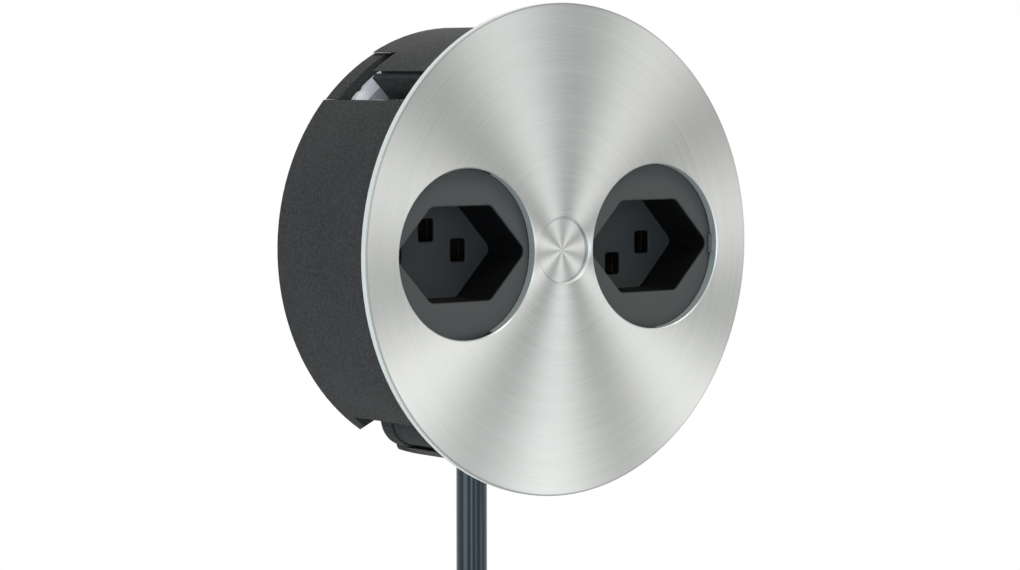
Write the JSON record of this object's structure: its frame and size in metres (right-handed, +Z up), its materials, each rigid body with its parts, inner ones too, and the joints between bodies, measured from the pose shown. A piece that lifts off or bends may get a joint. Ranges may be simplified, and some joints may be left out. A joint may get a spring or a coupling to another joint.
{
  "type": "in-desk power module",
  "caption": "Round flush-mounted desk power module with a turning brushed cover, recessed three-pin sockets, swing-out clamping claws and a lead with a connector.",
  "frame": {"origin": "on the module's axis, in the plane of the panel's face, where the back of the cover's rim seats", "axes": "+Y along the axis into the panel, so the cover faces -Y; +Z up, with the lead hanging towards -Z; +X to the right as seen from the front"},
  "size_m": [0.1164, 0.043, 0.3394],
  "materials": {
    "stainless_cover": "concentrically brushed stainless steel",
    "grey_plastic": "moulded, matt",
    "steel": "zinc-plated steel",
    "spring_steel": "hardened spring steel",
    "bush_plastic": "natural acetal",
    "black_plastic": "moulded, fine textured",
    "die_cast_zinc": "plated zinc die casting",
    "socket_plastic": "moulded, satin dark grey",
    "brass": "stamped strip",
    "rubber": "moulded",
    "lead_jacket": "extruded, glossy",
    "core_brown": "extruded insulation",
    "core_blue": "extruded insulation",
    "core_green_yellow": "extruded two-colour insulation",
    "connector_plastic": "moulded, matt"
  },
  "bodies": {
    "module": {"pivot_bush": "bush_plastic", "disc_spring": "spring_steel", "guide_shoes": "bush_plastic", "housing": "black_plastic", "rear_cover": "black_plastic", "rear_cover_screws": "steel", "socket_left": "socket_plastic", "socket_right": "socket_plastic", "contact_line_left": "brass", "contact_neutral_left": "brass", "contact_earth_left": "brass", "contact_line_right": "brass", "contact_neutral_right": "brass", "contact_earth_right": "brass", "busbar_line": "brass", "busbar_neutral": "brass", "busbar_earth": "brass", "terminal_block": "black_plastic", "terminal_cages": "brass", "terminal_screws": "steel", "cable_clamp": "black_plastic", "cable_clamp_screws": "steel", "cable_grommet": "rubber", "supply_lead": "lead_jacket", "core_line": "core_brown", "core_neutral": "core_blue", "core_earth": "core_green_yellow", "connector_shell": "connector_plastic", "connector_pins": "brass"},
    "cover": {"cover_disc": "stainless_cover", "cover_stop": "grey_plastic", "pivot_stud": "steel", "retaining_clip": "spring_steel"},
    "left_claw": {"claw_left": "die_cast_zinc", "claw_screw_left": "steel"},
    "right_claw": {"claw_right": "die_cast_zinc", "claw_screw_right": "steel"}
  },
  "joints": [
    {"name": "cover_turn", "type": "hinge", "parent": "module", "child": "cover", "pos_m": [0, 0, 0], "axis": [0, 1, 0], "range_deg": [0, 90]},
    {"name": "left_claw_swing", "type": "hinge", "parent": "module", "child": "left_claw", "pos_m": [-0.03119, 0.0337, 0.03361], "axis": [0, -1, 0], "range_deg": [0, 58]},
    {"name": "right_claw_swing", "type": "hinge", "parent": "module", "child": "right_claw", "pos_m": [0.03119, 0.0337, -0.03361], "axis": [0, -1, 0], "range_deg": [0, 58]}
  ]
}
